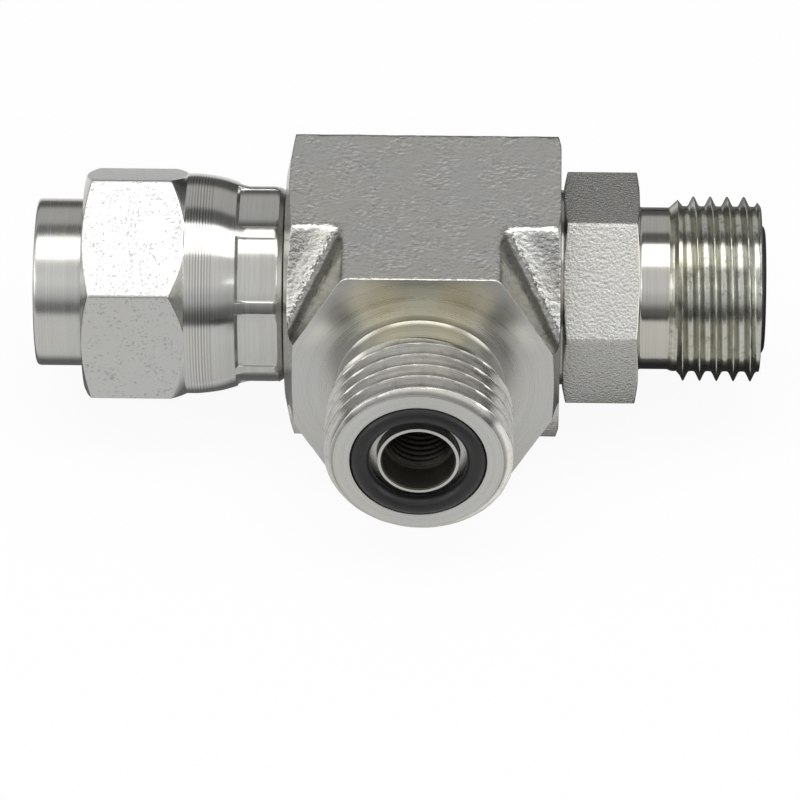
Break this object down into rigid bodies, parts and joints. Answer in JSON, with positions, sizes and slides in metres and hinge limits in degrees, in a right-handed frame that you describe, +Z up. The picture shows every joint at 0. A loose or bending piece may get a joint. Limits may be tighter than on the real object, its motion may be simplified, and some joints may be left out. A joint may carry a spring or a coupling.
{
  "type": "hydraulic shuttle valve tee",
  "caption": "Forged hexagonal tee valve with flat face O-ring ports: a crimped swivel nut, a threaded branch and a screwed-in adapter, around a ball shuttle between two seats.",
  "frame": {"origin": "on the bottom wrench flat of the forged body, straight below the crossing of the run and branch axes", "axes": "+X along the run towards the screwed-in adapter, -Y along the branch towards its port, +Z up from the bottom flat; both axes lie 12.55 mm above it"},
  "size_m": [0.0687, 0.0411, 0.0251],
  "materials": {
    "forged_zinc": "zinc plated forging with a blasted skin and turned faces",
    "nut_zinc": "bright zinc plating, blasted hexagon and turned barrel",
    "adapter_zinc": "zinc plating, blasted hexagon and turned thread",
    "seal_rubber": "black nitrile rubber, satin",
    "hardened_steel": "hardened and ground",
    "ball_steel": "polished bearing steel",
    "cage_brass": "machined brass",
    "black_steel": "blackened steel"
  },
  "bodies": {
    "valve_body": {"tee_body": "forged_zinc", "run_adapter": "adapter_zinc", "branch_face_seal": "seal_rubber", "run_face_seal": "seal_rubber", "adapter_stud_seal": "seal_rubber", "left_seat": "hardened_steel", "right_seat": "hardened_steel", "left_seat_seal": "seal_rubber", "right_seat_seal": "seal_rubber", "ball_cage": "cage_brass", "orifice_screw": "black_steel"},
    "ring_carrier": {"thrust_ring": "hardened_steel"},
    "nut": {"swivel_nut": "nut_zinc"},
    "ball": {"shuttle_ball": "ball_steel"}
  },
  "joints": [
    {"name": "nut_slide", "type": "slide", "parent": "valve_body", "child": "ring_carrier", "axis": [-1, 0, 0], "range_m": [0, 0.0117]},
    {"name": "nut_spin", "type": "hinge", "parent": "ring_carrier", "child": "nut", "pos_m": [-0.02247, 0, 0.01255], "axis": [1, 0, 0], "continuous": true},
    {"name": "ball_shift", "type": "slide", "parent": "valve_body", "child": "ball", "axis": [1, 0, 0], "range_m": [0, 0.00246]}
  ]
}
